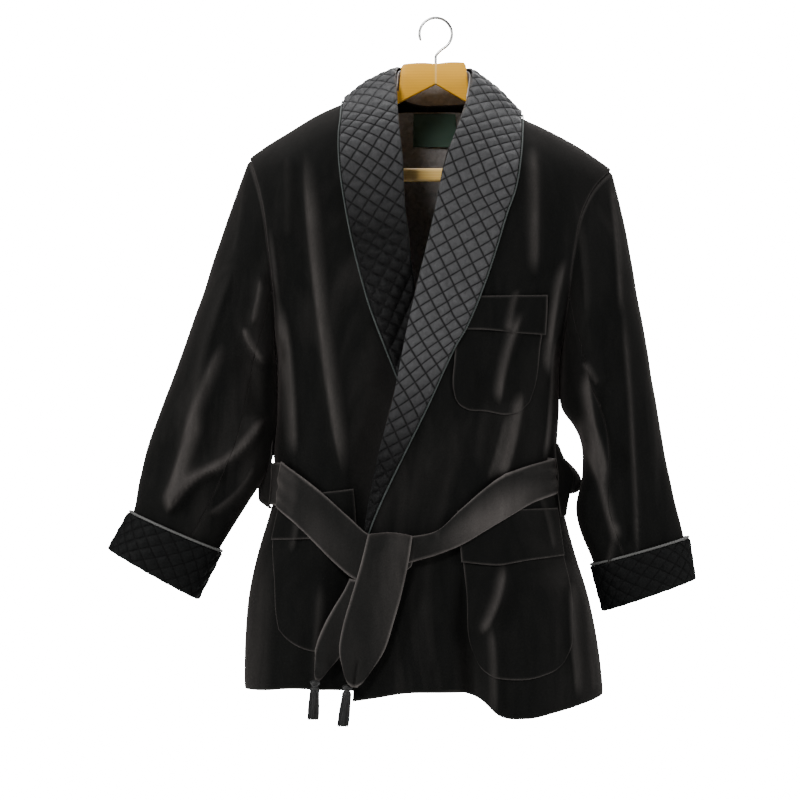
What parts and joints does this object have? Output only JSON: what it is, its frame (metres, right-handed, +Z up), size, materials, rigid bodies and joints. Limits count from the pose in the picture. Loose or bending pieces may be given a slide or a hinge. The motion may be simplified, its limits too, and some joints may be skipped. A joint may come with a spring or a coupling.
{
  "type": "smoking jacket on a hanger",
  "caption": "Velvet smoking jacket with a quilted shawl collar and cuffs, patch pockets and a tied tasselled belt, hanging on a wooden hanger.",
  "frame": {"origin": "where the inside of the hanger's hook bears on its rail", "axes": "+Z up, -Y out of the jacket's front, +X towards the wearer's left"},
  "size_m": [0.754, 0.2364, 0.9058],
  "materials": {
    "velvet": "deep pile velvet",
    "quilted_satin": "quilted satin",
    "cord_trim": "twisted cord",
    "tassel_thread": "soft thread",
    "lining_satin": "smooth satin",
    "label_ribbon": "plain ribbon",
    "wood": "varnished",
    "steel": "polished wire"
  },
  "bodies": {
    "root": {"front_left": "velvet", "front_right": "velvet", "back_left": "velvet", "back_right": "velvet", "sleeve_left_top": "velvet", "sleeve_left_under": "velvet", "sleeve_right_top": "velvet", "sleeve_right_under": "velvet", "cuff_left": "quilted_satin", "cuff_right": "quilted_satin", "cuff_cord_left": "cord_trim", "cuff_cord_right": "cord_trim", "shawl_left": "quilted_satin", "shawl_right": "quilted_satin", "collar_stand": "lining_satin", "piping_left": "cord_trim", "piping_right": "cord_trim", "breast_pocket": "velvet", "breast_pocket_band": "velvet", "hip_pocket_left": "velvet", "hip_band_left": "velvet", "hip_pocket_right": "velvet", "hip_band_right": "velvet", "belt_back": "velvet", "belt_run_left": "velvet", "belt_run_right": "velvet", "belt_knot": "velvet", "belt_end_front": "velvet", "belt_end_under": "velvet", "belt_loop_left": "velvet", "belt_loop_right": "velvet", "tassel_front": "tassel_thread", "tassel_under": "tassel_thread", "back_lining": "lining_satin", "neck_label": "label_ribbon", "hanger_arms": "wood", "trouser_bar": "wood", "hanger_hook": "steel"}
  },
  "joints": []
}
